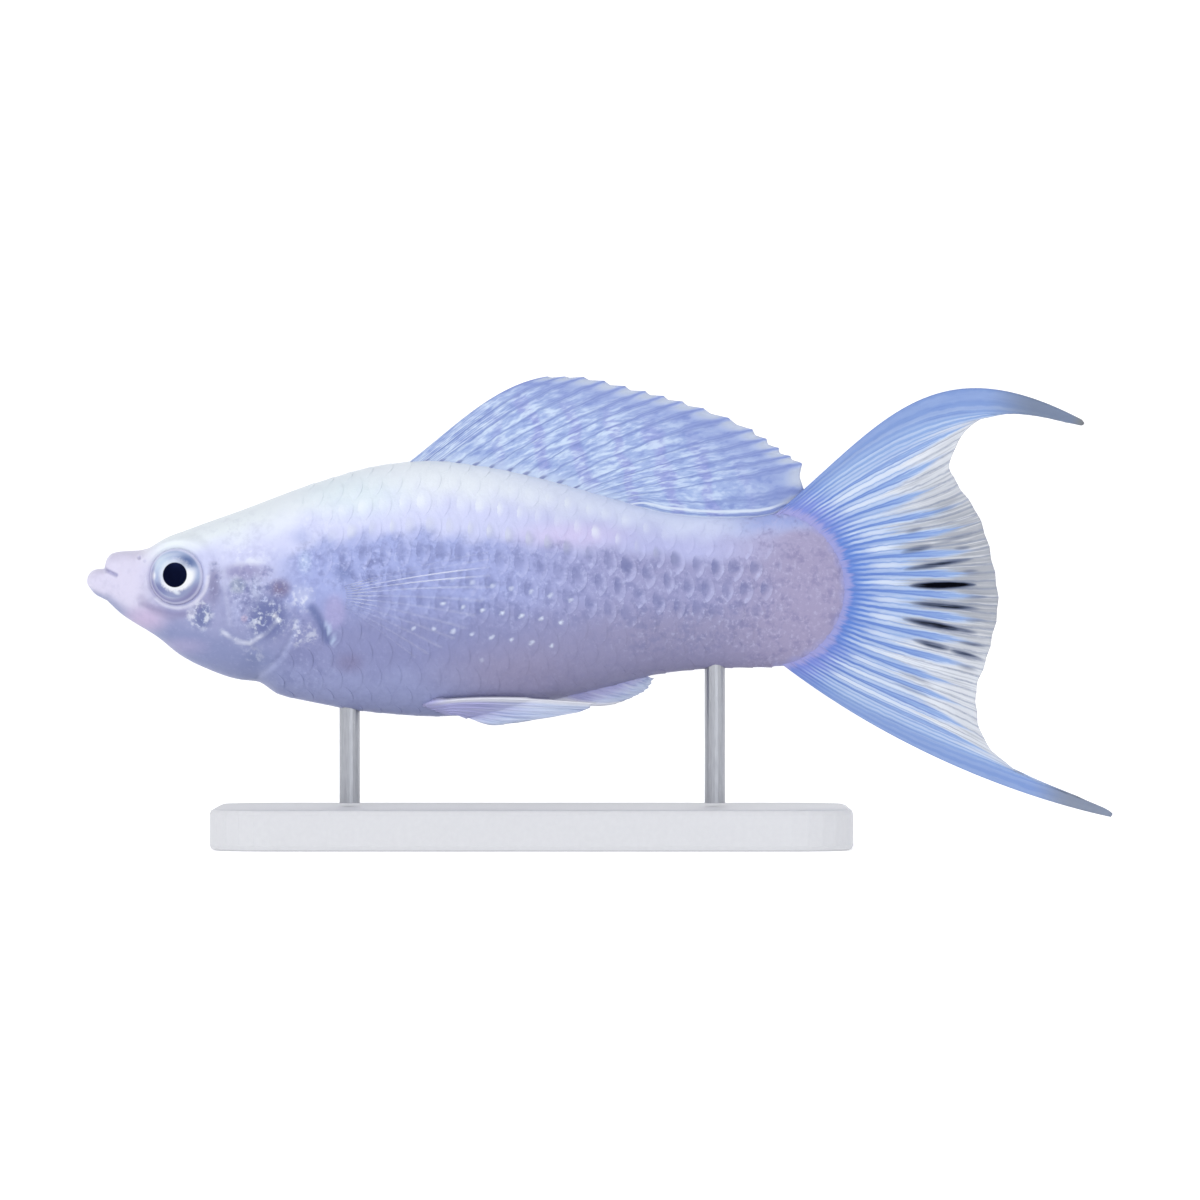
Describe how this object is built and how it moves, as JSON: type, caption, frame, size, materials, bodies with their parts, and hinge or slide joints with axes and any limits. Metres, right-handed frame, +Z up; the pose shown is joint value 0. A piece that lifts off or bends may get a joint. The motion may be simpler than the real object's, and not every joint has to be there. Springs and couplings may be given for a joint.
{
  "type": "sailfin molly on a display stand",
  "caption": "Life-size still model of a platinum lyretail sailfin molly, swimming level on a plain stand with a flat base and short rods",
  "frame": {"origin": "on the floor under the stand, midway along the fish's overall length, in its middle plane", "axes": "+Z up, +X from the snout to the tail, +Y to the fish's right side"},
  "size_m": [0.1, 0.036, 0.0459],
  "materials": {
    "platinum_skin": "pearly scaled skin, silver-lilac with a pale back, satin gloss",
    "blue_fin": "thin rayed fin membrane, pale blue with white streaks and dark dashes, part clear",
    "silver_eye": "wet silver-white iris with a black pupil under a clear cornea",
    "steel_rod": "satin steel rod",
    "pale_base": "pale satin lacquer"
  },
  "bodies": {
    "root": {"head": "platinum_skin", "torso": "platinum_skin", "tail_stalk": "platinum_skin", "eye_left": "silver_eye", "eye_right": "silver_eye", "dorsal_fin": "blue_fin", "tail_fin_upper_lobe": "blue_fin", "tail_fin_middle": "blue_fin", "tail_fin_lower_lobe": "blue_fin", "anal_fin": "blue_fin", "pelvic_fin_left": "blue_fin", "pelvic_fin_right": "blue_fin", "pectoral_fin_left": "blue_fin", "pectoral_fin_right": "blue_fin", "stand_base": "pale_base", "stand_rod_front": "steel_rod", "stand_rod_rear": "steel_rod"}
  },
  "joints": []
}
